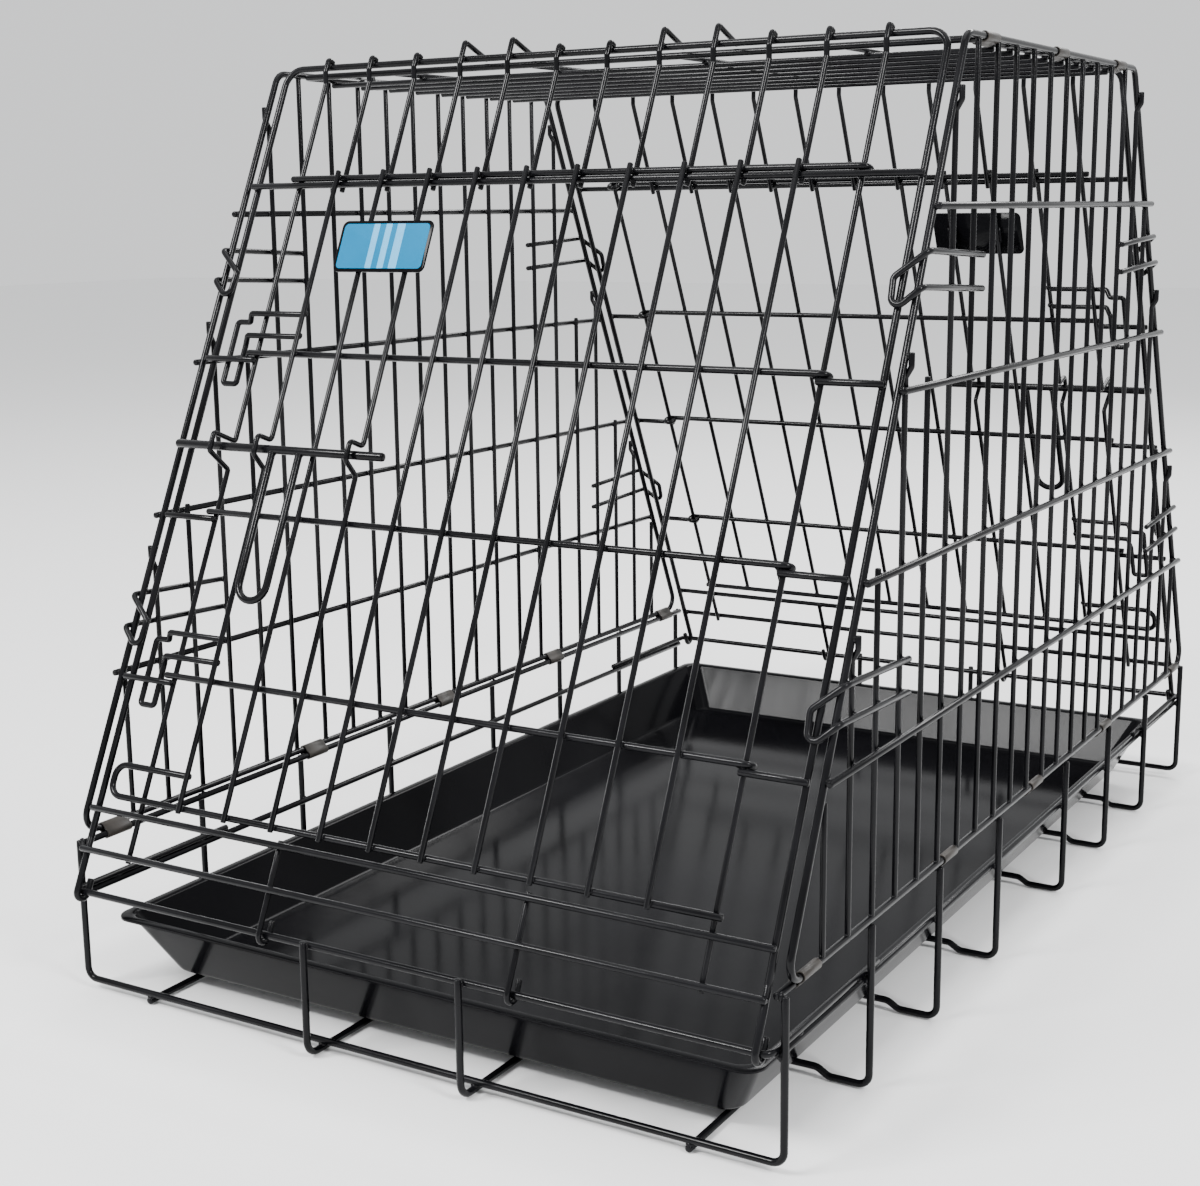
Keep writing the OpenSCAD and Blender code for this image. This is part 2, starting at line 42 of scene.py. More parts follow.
# Camera, lights and floor.
# A pale studio sweep seen from the crate's front right corner, a little above the tray,
# with one large key lamp, a softer fill and a strip behind that draws highlights on the wires.
cam_data = bpy.data.cameras.new("camera")
cam_data.sensor_fit = "HORIZONTAL"
cam_data.sensor_width = 36
cam_data.lens = 56.07
cam_data.clip_end = 50
camera = bpy.data.objects.new("camera", cam_data)
bpy.context.collection.objects.link(camera)
forward = Vector((-0.5035, 0.8407, -0.1995)).normalized()
right = Vector((0.859, 0.5118, -0.0114)).normalized()
up = right.cross(forward)
camera_turn = Matrix((right, up, -forward)).transposed().to_4x4()
camera.matrix_world = Matrix.Translation((0.7134, -1.3759, 0.5583)) @ camera_turn
bpy.context.scene.camera = camera


def area_lamp(name, place, aim, size, power):
    data = bpy.data.lights.new(name, "AREA")
    data.shape = "RECTANGLE"
    data.size, data.size_y = size
    data.energy = power
    lamp = bpy.data.objects.new(name, data)
    lamp.location = place
    lamp.rotation_euler = (Vector(aim) - Vector(place)).to_track_quat("-Z", "Y").to_euler()
    bpy.context.collection.objects.link(lamp)


area_lamp("key_lamp", (-1.2, -2.4, 2.6), (0, 0, 0.3), (1.1, 0.7), 150)
area_lamp("fill_lamp", (2.6, -1.2, 2.4), (0, 0, 0.3), (0.7, 0.7), 90)
area_lamp("back_strip", (0.3, 2.6, 2.4), (0, 0, 0.3), (3.0, 0.5), 70)
area_lamp("top_lamp", (0, 0, 3.2), (0, 0, 0), (2.4, 2.4), 40)

world = bpy.data.worlds.new("studio")
world.use_nodes = True
world.node_tree.nodes["Background"].inputs["Color"].default_value = (0.93, 0.94, 0.95, 1)
world.node_tree.nodes["Background"].inputs["Strength"].default_value = 1.12
bpy.context.scene.world = world

floor_bm = bmesh.new()
FLOOR_DROP = 0.0006
below = Matrix.Translation((0, 0, -FLOOR_DROP))
bmesh.ops.create_grid(floor_bm, x_segments=1, y_segments=1, size=12, matrix=below)
floor_mesh = bpy.data.meshes.new("studio_floor")
floor_bm.to_mesh(floor_mesh)
floor_bm.free()
floor = bpy.data.objects.new("studio_floor", floor_mesh)
bpy.context.collection.objects.link(floor)
pale = bpy.data.materials.new("pale_floor")
pale.use_nodes = True
pale.node_tree.nodes["Principled BSDF"].inputs["Base Color"].default_value = (0.93, 0.93, 0.93, 1)
pale.node_tree.nodes["Principled BSDF"].inputs["Roughness"].default_value = 0.75
floor.data.materials.append(pale)


# Base end frames: two U-shaped frame wires, one under each end of the crate.
# Each is bent from one 5 mm steel wire and lies level on top of the long wires,
# and its tops are welded to the side rims. Everything wire is coated gloss black.
CRATE_L, CRATE_W, CRATE_H, TOP_L = 910, 567, 668, 381
FRAME_D, RAIL_D, GRID_D, HOOK_D = 5, 4.8, 4, 4.4
SINK, GAP = 0.1, 0.3
FRAME_SIDES = 14
POST_TOP_EXTRA = 0.7
POST_WELD = (1.8, 3, 3)
POST_X = CRATE_W / 2
RIM_X = POST_X - (FRAME_D - SINK)
RIM_Z, RAIL_Z = 112.8, 80
LOW_Z = FRAME_D / 2
RAISED_Z = LOW_Z + FRAME_D - SINK


def verts_in(geom):
    return [g for g in geom if isinstance(g, bmesh.types.BMVert)]


def round_edges(part, edges, offset):
    bmesh.ops.bevel(
        part, geom=edges, offset=offset, segments=2, profile=0.5, affect="EDGES", material=-1,
    )


def add_to(piece_bm, part):
    """Move one finished wire, weld or plate into the piece it belongs to."""
    step = bpy.data.meshes.new("step")
    part.to_mesh(step)
    part.free()
    piece_bm.from_mesh(step)
    bpy.data.meshes.remove(step)


def bend_wire(piece_bm, points, d, r=3, closed=False, sides=12):
    """Feed a round wire along the points, in mm, and bend it to radius r at each inner one."""
    path = [Vector(p) * MM for p in points]
    d, r = d * MM, r * MM
    if closed:
        middle = (path[-1] + path[0]) / 2
        path = [middle] + path + [middle]
    wire = bmesh.new()
    start = (path[1] - path[0]).to_track_quat("Z", "Y").to_matrix().to_4x4()
    start.translation = path[0]
    bmesh.ops.create_circle(wire, cap_ends=True, radius=d / 2, segments=sides, matrix=start)
    head = wire.verts[:] + wire.edges[:] + wire.faces[:]
    at = path[0]
    for i in range(1, len(path)):
        along = (path[i] - path[i - 1]).normalized()
        stop = path[i]
        if i < len(path) - 1:
            onward = (path[i + 1] - path[i]).normalized()
            angle = along.angle(onward)
            stop = path[i] - along * r * tan(angle / 2)
        head = bmesh.ops.extrude_face_region(wire, geom=head)["geom"]
        bmesh.ops.translate(wire, vec=stop - at, verts=verts_in(head))
        at = stop
        if i < len(path) - 1:
            axis = along.cross(onward).normalized()
            inward = (onward - along * along.dot(onward)).normalized()
            head = bmesh.ops.spin(
                wire, geom=head, cent=stop + inward * r, axis=axis, angle=angle,
                steps=max(2, ceil(angle / 0.3)),
            )["geom_last"]
            at = path[i] + onward * r * tan(angle / 2)
    caps = [f for f in wire.faces if len(f.verts) > 4]
    if closed:
        bmesh.ops.delete(wire, geom=caps, context="FACES_ONLY")
        bmesh.ops.remove_doubles(wire, verts=wire.verts[:], dist=0.00005)
    else:
        rims = list({e for f in caps for e in f.edges})
        round_edges(wire, rims, 0.2 * d)
    bmesh.ops.recalc_face_normals(wire, faces=wire.faces[:])
    add_to(piece_bm, wire)


def spot_weld(piece_bm, at, size=(2.6, 2.6, 1.8), turn=None):
    """The small bead that a spot weld leaves in the corners where two wires cross, at in mm."""
    bead = bmesh.new()
    bmesh.ops.create_uvsphere(bead, u_segments=8, v_segments=5, radius=MM)
    bmesh.ops.scale(bead, vec=size, verts=bead.verts[:])
    if turn:
        bmesh.ops.rotate(bead, cent=(0, 0, 0), matrix=turn, verts=bead.verts[:])
    bmesh.ops.translate(bead, vec=Vector(at) * MM, verts=bead.verts[:])
    add_to(piece_bm, bead)


def make_piece(name, piece_bm, body, finishes, nodes):
    """Turn a finished bmesh into a piece that rides on its body in place of the plain nodes."""
    mesh = bpy.data.meshes.new(name)
    piece_bm.to_mesh(mesh)
    piece_bm.free()
    mesh.polygons.foreach_set("use_smooth", [True] * len(mesh.polygons))
    for finish in finishes:
        mesh.materials.append(finish)
    piece = bpy.data.objects.new(name, mesh)
    bpy.context.collection.objects.link(piece)
    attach(piece, body)
    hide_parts(*nodes)


def wire_piece(name, piece_bm, body, node):
    """A piece of black coated wire that stands in for one node."""
    make_piece(name, piece_bm, body, [black_coat], [node])


def grain_group():
    """Fine orange peel, slow thick and thin patches, and a little settled dust."""
    group = bpy.data.node_groups.new("coating_grain", "ShaderNodeTree")
    sockets = [
        ("Peel Scale", "INPUT", "NodeSocketFloat", 900.0),
        ("Peel Height", "INPUT", "NodeSocketFloat", 0.1),
        ("Patch Scale", "INPUT", "NodeSocketFloat", 14.0),
        ("Gloss Low", "INPUT", "NodeSocketFloat", 0.2),
        ("Gloss High", "INPUT", "NodeSocketFloat", 0.34),
        ("Roughness", "OUTPUT", "NodeSocketFloat", 0.0),
        ("Patch", "OUTPUT", "NodeSocketFloat", 0.0),
        ("Normal", "OUTPUT", "NodeSocketVector", None),
    ]
    for label, way, kind, value in sockets:
        socket = group.interface.new_socket(name=label, in_out=way, socket_type=kind)
        if value is not None:
            socket.default_value = value
    nodes, links = group.nodes, group.links
    given, out = nodes.new("NodeGroupInput"), nodes.new("NodeGroupOutput")
    place = nodes.new("ShaderNodeTexCoord")
    peel, patch = nodes.new("ShaderNodeTexNoise"), nodes.new("ShaderNodeTexNoise")
    patch.inputs["Detail"].default_value = 3
    links.new(place.outputs["Object"], peel.inputs["Vector"])
    links.new(place.outputs["Object"], patch.inputs["Vector"])
    links.new(given.outputs["Peel Scale"], peel.inputs["Scale"])
    links.new(given.outputs["Patch Scale"], patch.inputs["Scale"])
    gloss = nodes.new("ShaderNodeMapRange")
    gloss.inputs["From Min"].default_value = 0.3
    gloss.inputs["From Max"].default_value = 0.7
    links.new(patch.outputs["Fac"], gloss.inputs["Value"])
    links.new(given.outputs["Gloss Low"], gloss.inputs["To Min"])
    links.new(given.outputs["Gloss High"], gloss.inputs["To Max"])
    bump = nodes.new("ShaderNodeBump")
    bump.inputs["Distance"].default_value = 0.0004
    links.new(given.outputs["Peel Height"], bump.inputs["Strength"])
    links.new(peel.outputs["Fac"], bump.inputs["Height"])
    links.new(gloss.outputs["Result"], out.inputs["Roughness"])
    links.new(patch.outputs["Fac"], out.inputs["Patch"])
    links.new(bump.outputs["Normal"], out.inputs["Normal"])
    return group


coating_grain = grain_group()


def coated(name, dark, light, settings, specular):
    """A coated surface whose colour drifts between two close shades."""
    finish = bpy.data.materials.new(name)
    finish.use_nodes = True
    nodes, links = finish.node_tree.nodes, finish.node_tree.links
    shader = nodes["Principled BSDF"]
    shader.inputs["Specular IOR Level"].default_value = specular
    grain = nodes.new("ShaderNodeGroup")
    grain.node_tree = coating_grain
    for label, value in settings.items():
        grain.inputs[label].default_value = value
    shade = nodes.new("ShaderNodeValToRGB")
    shade.color_ramp.elements[0].position = 0.35
    shade.color_ramp.elements[0].color = (*dark, 1)
    shade.color_ramp.elements[1].position = 0.65
    shade.color_ramp.elements[1].color = (*light, 1)
    links.new(grain.outputs["Patch"], shade.inputs["Fac"])
    links.new(shade.outputs["Color"], shader.inputs["Base Color"])
    links.new(grain.outputs["Roughness"], shader.inputs["Roughness"])
    links.new(grain.outputs["Normal"], shader.inputs["Normal"])
    return finish


black_coat = coated(
    "gloss_black_coat", (0.0015, 0.0015, 0.002), (0.005, 0.005, 0.006),
    {"Peel Scale": 700, "Peel Height": 0.12, "Patch Scale": 16,
     "Gloss Low": 0.14, "Gloss High": 0.24},
    specular=0.14,
)


end_frames = bmesh.new()
for y in (-CRATE_L / 2, CRATE_L / 2):
    post_top = RIM_Z + POST_TOP_EXTRA
    posts = [(-POST_X, y, post_top), (-POST_X, y, RAISED_Z), (POST_X, y, RAISED_Z), (POST_X, y, post_top)]
    bend_wire(end_frames, posts, FRAME_D, 8, sides=FRAME_SIDES)
    for x in (-1, 1):
        spot_weld(end_frames, (x * (POST_X - 2.4), y, RIM_Z), POST_WELD)
        spot_weld(end_frames, (x * (POST_X - 2.4), y, RAIL_Z - (FRAME_D - SINK)), POST_WELD)
wire_piece("base_end_frame_wires", end_frames, "base", "base_end_frames")


# Base cross wires: six more U wires between the ends, spaced wider at the middle.
# Each is cranked up between its two feet to bear the tray over the long wires,
# and their tops are welded to the rims like the end frames.
FOOT_Y = [k * 121 for k in (-2.7, -1.7, -0.68, 0.68, 1.7, 2.7)]
RAISED_X, CRANK = 247, 8
cross_wires = bmesh.new()
for y in FOOT_Y:
    half = [
        (POST_X, y, RIM_Z + POST_TOP_EXTRA), (POST_X, y, LOW_Z),
        (RAISED_X + CRANK, y, LOW_Z), (RAISED_X, y, RAISED_Z),
    ]
    bend_wire(cross_wires, [(-x, y, z) for x, y, z in half] + half[::-1], FRAME_D, 8, sides=FRAME_SIDES)
    for x in (-1, 1):
        spot_weld(cross_wires, (x * (POST_X - 2.4), y, RIM_Z), POST_WELD)
        spot_weld(cross_wires, (x * (POST_X - 2.4), y, RAIL_Z - (FRAME_D - SINK)), POST_WELD)
wire_piece("base_cross_wire_feet", cross_wires, "base", "base_cross_wires")


# Base long wires: four wires under the cross wires from end to end.
# The outer two are cut straight just past the end frames; the inner two turn up
# at each end and are welded to the outside of the end rails.
RAIL_OUT = 11
INNER_X, OUTER_X = 63, 221
HINGE_Y = CRATE_L / 2 + RAIL_OUT
long_wires = bmesh.new()
up_y = HINGE_Y + FRAME_D - SINK
for x in (-OUTER_X, OUTER_X):
    run = [(x, -CRATE_L / 2 - 3, LOW_Z), (x, CRATE_L / 2 + 3, LOW_Z)]
    bend_wire(long_wires, run, FRAME_D, sides=FRAME_SIDES)
for x in (-INNER_X, INNER_X):
    turned_up = [(x, -up_y, RAIL_Z + 4), (x, -up_y, LOW_Z), (x, up_y, LOW_Z), (x, up_y, RAIL_Z + 4)]
    bend_wire(long_wires, turned_up, FRAME_D, 10, sides=FRAME_SIDES)
    for y in (-1, 1):
        spot_weld(long_wires, (x, y * (up_y - 2.4), RAIL_Z), (3, 1.8, 3))
for x in (-OUTER_X, -INNER_X, INNER_X, OUTER_X):
    for y in [-CRATE_L / 2] + FOOT_Y + [CRATE_L / 2]:
        spot_weld(long_wires, (x, y, LOW_Z + 2.4), (3, 3, 1.8))
wire_piece("base_long_wire_runs", long_wires, "base", "base_long_wires")


# Base rims: the straight top wire of each side of the base.
# The side panels' sleeves are crimped round it.
rims = bmesh.new()
for x in (-RIM_X, RIM_X):
    bend_wire(rims, [(x, -CRATE_L / 2 - 2, RIM_Z), (x, CRATE_L / 2 + 2, RIM_Z)], FRAME_D, sides=FRAME_SIDES)
wire_piece("base_rim_wires", rims, "base", "base_rims")


# Base side rails: a second straight wire along each side, below the rim.
# It keeps the feet upright and stops the tray sliding out sideways.
side_rails = bmesh.new()
for x in (-RIM_X, RIM_X):
    z = RAIL_Z - FRAME_D + SINK
    bend_wire(side_rails, [(x, -CRATE_L / 2, z), (x, CRATE_L / 2, z)], FRAME_D, sides=FRAME_SIDES)
wire_piece("base_side_rail_wires", side_rails, "base", "base_side_rails")


# Base end rails: a U wire across each end, standing a little proud of the end frame.
# Its legs run back along the sides and lie on the side rails, and the end panels hinge on it.
RETURN_L = 150
end_rails = bmesh.new()
for y in (-1, 1):
    back, front = y * (CRATE_L / 2 - RETURN_L), y * HINGE_Y
    rail = [(-RIM_X, back, RAIL_Z), (-RIM_X, front, RAIL_Z), (RIM_X, front, RAIL_Z), (RIM_X, back, RAIL_Z)]
    bend_wire(end_rails, rail, FRAME_D, 5.5, sides=FRAME_SIDES)
    for x in (-RIM_X, RIM_X):
        for leg in (0.2, 0.8):
            spot_weld(end_rails, (x, y * (CRATE_L / 2 - RETURN_L * leg), RAIL_Z - 2.4), (2.4, 5, 1.3))
wire_piece("base_end_rail_wires", end_rails, "base", "base_end_rails")


# Hinge sleeves: strips of thin sheet folded round the rim and the side panel's bottom wire.
# Five on each side, crimped between the two wires, in a brown black coating
# that has rubbed thin where the panel turns.
SIDE_X = POST_X - 0.5
SIDE_LOW_Z = RIM_Z + 4.6
SLEEVE_L, SLEEVE_T, SLEEVE_GAP = 24, 0.9, 0.1

brown_coat = coated(
    "brown_black_coat", (0.014, 0.012, 0.01), (0.032, 0.027, 0.023),
    {"Peel Scale": 500, "Peel Height": 0.2, "Patch Scale": 60,
     "Gloss Low": 0.35, "Gloss High": 0.5},
    specular=0.3,
)


def fold_sleeve(piece_bm, a, b, y):
    """Sheet folded round two wires that run along Y at a and b, given as (x, z) in mm."""
    reach = hypot(b[0] - a[0], b[1] - a[1])
    bore = FRAME_D / 2 + SLEEVE_GAP
    sheet = bmesh.new()
    bmesh.ops.create_circle(sheet, segments=20, radius=(bore + SLEEVE_T) * MM)
    bmesh.ops.rotate(sheet, cent=(0, 0, 0), matrix=Matrix.Rotation(pi / 20, 3, "Z"), verts=sheet.verts[:])
    bmesh.ops.translate(sheet, vec=(reach * MM, 0, 0), verts=[v for v in sheet.verts if v.co.x > 0])
    ends = [e for e in sheet.edges if abs(e.verts[0].co.x - e.verts[1].co.x) > 0.5 * reach * MM]
    bmesh.ops.subdivide_edges(sheet, edges=ends, cuts=3)
    for v in sheet.verts:
        v.co.y *= 1 - 0.1 * max(0, 1 - abs(v.co.x / MM - reach / 2) / (0.3 * reach))
    drawn = bmesh.ops.extrude_edge_only(sheet, edges=sheet.edges[:])["geom"]
    bmesh.ops.translate(sheet, vec=(0, 0, SLEEVE_L * MM), verts=verts_in(drawn))
    bmesh.ops.recalc_face_normals(sheet, faces=sheet.faces[:])
    bmesh.ops.solidify(sheet, geom=sheet.faces[:], thickness=SLEEVE_T * MM)
    bmesh.ops.recalc_face_normals(sheet, faces=sheet.faces[:])
    level = [e for e in sheet.edges if abs(e.verts[0].co.z - e.verts[1].co.z) < 1e-6]
    mouth = [e for e in level if len(e.link_faces) == 2 and e.calc_face_angle() > 1]
    round_edges(sheet, mouth, 0.2 * MM)
    lay = Matrix(((1, 0, 0), (0, 0, 1), (0, -1, 0)))
    slant = Matrix.Rotation(-atan2(b[1] - a[1], b[0] - a[0]), 3, "Y")
    bmesh.ops.rotate(sheet, cent=(0, 0, 0), matrix=slant @ lay, verts=sheet.verts[:])
    low = min(v.co.y for v in sheet.verts)
    place = (a[0] * MM, y * MM - low - SLEEVE_L * MM / 2, a[1] * MM)
    bmesh.ops.translate(sheet, vec=place, verts=sheet.verts[:])
    add_to(piece_bm, sheet)


side_sleeves = bmesh.new()
for x in (-1, 1):
    for y in (-422, -190.5, 0, 190.5, 422):
        fold_sleeve(side_sleeves, (x * RIM_X, RIM_Z), (x * SIDE_X, SIDE_LOW_Z), y)
make_piece(
    "side_hinge_sleeve_strips", side_sleeves, "base", [brown_coat], ["side_hinge_sleeves"],
)


# Tray: one vacuum formed sheet of black plastic that lies on the cross wires.
# It has a flat floor, sloping walls with rounded corners, and a flat lip with a
# turned down edge; the sheet is glossy, with the faint ripple that forming leaves.
TRAY_W, TRAY_L, TRAY_T = 524, 896, 2.5
TRAY_LIP, TRAY_DRAFT, FLOOR_ROUND = 7, 22, 3
TRAY_Z = RAISED_Z + FRAME_D / 2 + GAP

tray_plastic = coated(
    "formed_black_plastic", (0.002, 0.002, 0.0025), (0.005, 0.005, 0.006),
    {"Peel Scale": 90, "Peel Height": 0.1, "Patch Scale": 5,
     "Gloss Low": 0.1, "Gloss High": 0.17},
    specular=0.05,
)


def form_tray():
    sheet = bmesh.new()
    inset = 2 * (TRAY_LIP + TRAY_DRAFT + FLOOR_ROUND)
    floor_w, floor_l = TRAY_W - inset, TRAY_L - inset
    bmesh.ops.create_grid(sheet, x_segments=1, y_segments=1, size=0.5)
    bmesh.ops.scale(sheet, vec=(floor_w * MM, floor_l * MM, 1), verts=sheet.verts[:])
    bmesh.ops.bevel(
        sheet, geom=sheet.verts[:], offset=14 * MM, offset_type="OFFSET", segments=7, profile=0.5,
        affect="VERTICES", material=-1,
    )
    # each step goes outwards by the first number and up by the second
    foot_round = [(1.4, 0.35), (1.2, 0.9), (1, 1.6)]
    wall_and_lip = [(20.5, 39.2), (0.5, 1.1), (0.9, 0.75), (1.3, 0.3), (5, 0)]
    turned_down = [(0.35, -0.15), (0.15, -0.4), (0, -1.6)]
    rim = [e for e in sheet.edges if e.is_boundary]
    for out, rise in foot_round + wall_and_lip + turned_down:
        raised = bmesh.ops.extrude_edge_only(sheet, edges=rim)["geom"]
        for v in verts_in(raised):
            v.co.x += (out if v.co.x > 0 else -out) * MM
            v.co.y += (out if v.co.y > 0 else -out) * MM
            v.co.z += rise * MM
        rim = [g for g in raised if isinstance(g, bmesh.types.BMEdge)]
    bmesh.ops.inset_region(sheet, faces=[f for f in sheet.faces if len(f.verts) > 4], thickness=9 * MM)
    bmesh.ops.recalc_face_normals(sheet, faces=sheet.faces[:])
    if sum(f.normal.z for f in sheet.faces) < 0:
        bmesh.ops.reverse_faces(sheet, faces=sheet.faces[:])
    bmesh.ops.translate(sheet, vec=(0, 0, (TRAY_Z + TRAY_T) * MM), verts=sheet.verts[:])
    bmesh.ops.solidify(sheet, geom=sheet.faces[:], thickness=(TRAY_T - 0.3) * MM)
    return sheet


make_piece("formed_tray", form_tray(), "tray", [tray_plastic], ["tray"])


# End panel frames: an inverted U of frame wire, sloping inwards, at each end.
# Both legs end in a hook closed round the end rail, so the panel turns on the rail.
LEAN = atan2(HINGE_Y - TOP_L / 2, CRATE_H - RAIL_Z)
TOP_S = hypot(HINGE_Y - TOP_L / 2, CRATE_H - RAIL_Z)
FRAME_N = FRAME_D + GAP
WIRE_N = FRAME_N + (FRAME_D + RAIL_D) / 2 - SINK
BAR_N = WIRE_N - (RAIL_D + GRID_D) / 2 + SINK
TOP_N = FRAME_N + (FRAME_D + GRID_D) / 2 - SINK
BAR_PITCH = 42
JAMB_X = 5.5 * BAR_PITCH
EDGE_MARGIN = 41.2
EDGE_X = JAMB_X + EDGE_MARGIN
HEADER_DROP = 101
LOW_S, MID_S, HEADER_S = 30, 60, TOP_S - HEADER_DROP


def on_slope(rear, x, s, n):
    """A point x across, s up the slope from the hinge rail and n in front of it."""
    turn = -1 if rear else 1
    y = -HINGE_Y + s * sin(LEAN) - n * cos(LEAN)
    return (turn * x, turn * y, RAIL_Z + s * cos(LEAN) + n * sin(LEAN))


def slope_wire(piece_bm, rear, points, d, r=3, sides=12):
    bend_wire(piece_bm, [on_slope(rear, *p) for p in points], d, r, sides=sides)


def slope_weld(piece_bm, rear, x, s, n, size=(2.5, 2.6, 1.7)):
    tilt = LEAN - pi / 2 if rear else pi / 2 - LEAN
    spot_weld(piece_bm, on_slope(rear, x, s, n), size, Matrix.Rotation(tilt, 3, "X"))


def rail_hook(x, top, n):
    return [(x, top, n), (x, -FRAME_N, n), (x, -FRAME_N, -FRAME_N), (x, 10, -FRAME_N)]


for end, rear in (("front", False), ("rear", True)):
    u_frame = bmesh.new()
    hook_r = FRAME_N - 0.3
    # the two hooks are bent tight and the top corners wide, so the wire is fed in three lengths
    for x in (-EDGE_X, EDGE_X):
        slope_wire(u_frame, rear, rail_hook(x, 40, FRAME_N), FRAME_D, hook_r, FRAME_SIDES)
    arch = [(-EDGE_X, 38), (-EDGE_X, TOP_S), (EDGE_X, TOP_S), (EDGE_X, 38)]
    slope_wire(u_frame, rear, [(x, s, FRAME_N) for x, s in arch], FRAME_D, 14, FRAME_SIDES)
    wire_piece(end + "_u_frame", u_frame, end + "_panel", end + "_frame")


# Header bars: ten upright wires between the door opening and the top of each end panel.
# Six are cut just over the top rail with the end turned in; the other four reach past it
# and bend back over the top panel's end wire, which holds the roof down.
SIDE_PITCH, BAR_BEND = 38.1, 2.4
TOP_HALF_L = 4.5 * SIDE_PITCH
TOP_Z = CRATE_H - 2
DOOR_BARS = [(i - 5.5) * BAR_PITCH for i in range(1, 11)]


def slope_coords(y, z):
    out, rise = y + HINGE_Y, z - RAIL_Z
    return out * sin(LEAN) + rise * cos(LEAN), -out * cos(LEAN) + rise * sin(LEAN)


def turned_in(x):
    over = TOP_S + 4.7
    return [(x, TOP_S - 14, BAR_N), (x, TOP_S - 6, TOP_N), (x, over, TOP_N), (x, over, FRAME_N - 2)]


def over_the_roof(x):
    tip = slope_coords(-TOP_HALF_L + 6, TOP_Z + FRAME_D / 2 + GRID_D / 2 + GAP + 0.9)
    return [(x, TOP_S - 14, BAR_N), (x, TOP_S - 6, TOP_N), (x, TOP_S + 12, TOP_N), (x, *tip)]


for end, rear in (("front", False), ("rear", True)):
    header = bmesh.new()
    for x in DOOR_BARS:
        roof = min(abs(abs(x) - 63), abs(abs(x) - 105)) < 1
        path = [(x, HEADER_S - 4, BAR_N)] + (over_the_roof(x) if roof else turned_in(x))
        slope_wire(header, rear, path, GRID_D, BAR_BEND)
        slope_weld(header, rear, x, HEADER_S, (BAR_N + WIRE_N) / 2)
        slope_weld(header, rear, x, TOP_S, (FRAME_N + TOP_N) / 2 + 0.2)
    wire_piece(end + "_header_bar_wires", header, end + "_panel", end + "_header_bars")


# Jambs: the two uprights beside each door opening, behind the cross wires.
# The left one is bowed out part way up to make the keeper for the bolt.
BOLT_S, BOW_N = 335.5, 30


def bow(x, n):
    """Bottom to top round the keeper that the bolt slides in."""
    return [(x, BOLT_S - 13, n), (x, BOLT_S - 6, BOW_N), (x, BOLT_S + 8, BOW_N), (x, BOLT_S + 9, n)]


for end, rear in (("front", False), ("rear", True)):
    jambs = bmesh.new()
    keeper = [(-JAMB_X, LOW_S - 4, BAR_N)] + bow(-JAMB_X, BAR_N) + turned_in(-JAMB_X)
    slope_wire(jambs, rear, keeper, GRID_D, BAR_BEND)
    slope_wire(jambs, rear, [(JAMB_X, LOW_S - 4, BAR_N)] + turned_in(JAMB_X), GRID_D, BAR_BEND)
    for x in (-JAMB_X, JAMB_X):
        for s in (LOW_S, MID_S, HEADER_S):
            slope_weld(jambs, rear, x, s, (BAR_N + WIRE_N) / 2)
        slope_weld(jambs, rear, x, TOP_S, (FRAME_N + TOP_N) / 2 + 0.2)
    wire_piece(end + "_jamb_wires", jambs, end + "_panel", end + "_jambs")


# End cross wires: two across the foot of each end panel and one over the door.
# They are butted flush with the outside of the frame and welded at every crossing.
for end, rear in (("front", False), ("rear", True)):
    across = bmesh.new()
    reach = EDGE_X + FRAME_D / 2
    for s in (LOW_S, MID_S, HEADER_S):
        slope_wire(across, rear, [(-reach, s, WIRE_N), (reach, s, WIRE_N)], RAIL_D)
        for x in (-EDGE_X, EDGE_X):
            slope_weld(across, rear, x, s, (FRAME_N + WIRE_N) / 2, (2.9, 2.8, 1.8))
    wire_piece(end + "_cross_wire_rails", across, end + "_panel", end + "_cross_wires")


# Hinge stubs: three short wires on each side of a door opening, from the jamb past the frame.
# On the right the door's loops rest on them; on the left the door's hooks drop behind them.
STUB_S, STUB_PITCH = 158.5, 124.5
for end, rear in (("front", False), ("rear", True)):
    stubs = bmesh.new()
    for k in range(3):
        s = STUB_S + k * STUB_PITCH
        for x in (-1, 1):
            tip = EDGE_X + FRAME_D / 2 + 1
            slope_wire(stubs, rear, [(x * (JAMB_X - 2), s, WIRE_N), (x * tip, s, WIRE_N)], RAIL_D)
            slope_weld(stubs, rear, x * JAMB_X, s, (BAR_N + WIRE_N) / 2)
            slope_weld(stubs, rear, x * EDGE_X, s, (FRAME_N + WIRE_N) / 2, (2.9, 2.8, 1.8))
    wire_piece(end + "_hinge_stub_wires", stubs, end + "_panel", end + "_stubs")


# Rail hooks: two short hooked wires in the foot of each end panel.
# They take the panel's weight in the middle of the rail, where it would sag.
for end, rear in (("front", False), ("rear", True)):
    hooks = bmesh.new()
    for x in (-2.4 * BAR_PITCH, 2.4 * BAR_PITCH):
        slope_wire(hooks, rear, rail_hook(x, MID_S + 4, BAR_N), GRID_D, FRAME_N - 0.3)
        for s in (LOW_S, MID_S):
            slope_weld(hooks, rear, x, s, (BAR_N + WIRE_N) / 2)
    wire_piece(end + "_rail_hook_wires", hooks, end + "_panel", end + "_rail_hooks")


